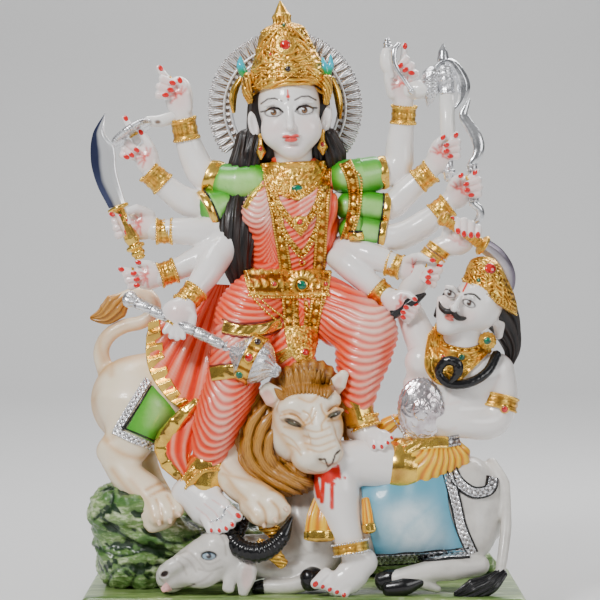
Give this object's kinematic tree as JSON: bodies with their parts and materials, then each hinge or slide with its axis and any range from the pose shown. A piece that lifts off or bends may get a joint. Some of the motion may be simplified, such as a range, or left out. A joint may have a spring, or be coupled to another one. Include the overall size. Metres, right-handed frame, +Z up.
{
  "type": "durga figure",
  "caption": "Painted marble figure group: a many-armed goddess on her lion over the buffalo and the demon, on a rock and slab, with halo and weapons.",
  "frame": {"origin": "under the middle of the slab, on its underside", "axes": "+Z up, the group faces -Y, the buffalo's head points to -X"},
  "size_m": [0.43, 0.226, 0.6038],
  "materials": {
    "white_marble": "polished translucent white marble",
    "coral_paint": "glossy coral paint on marble, pale on the ridges",
    "green_paint": "glossy leaf green paint on marble",
    "yellow_paint": "glossy golden yellow paint on marble",
    "blue_paint": "pale blue paint on marble",
    "gold": "burnished gold leaf over raised ornament",
    "silver": "bright silver leaf over raised ornament",
    "steel": "mirror-bright blade with a gilt hilt",
    "hair_paint": "glossy dark brown painted hair",
    "lion_marble": "white marble with amber paint in the creases",
    "mane_paint": "amber brown paint over carved locks",
    "buffalo_paint": "warm light grey paint on marble",
    "black_paint": "glossy black paint",
    "rock_paint": "streaky moss green glaze on carved rock",
    "red_gem": "red glass cabochon",
    "green_gem": "green glass stone"
  },
  "bodies": {
    "root": {"figure_group": "white_marble", "halo": "silver", "sword": "steel", "mace": "silver", "bow": "silver", "demon_sword": "steel"}
  },
  "joints": []
}
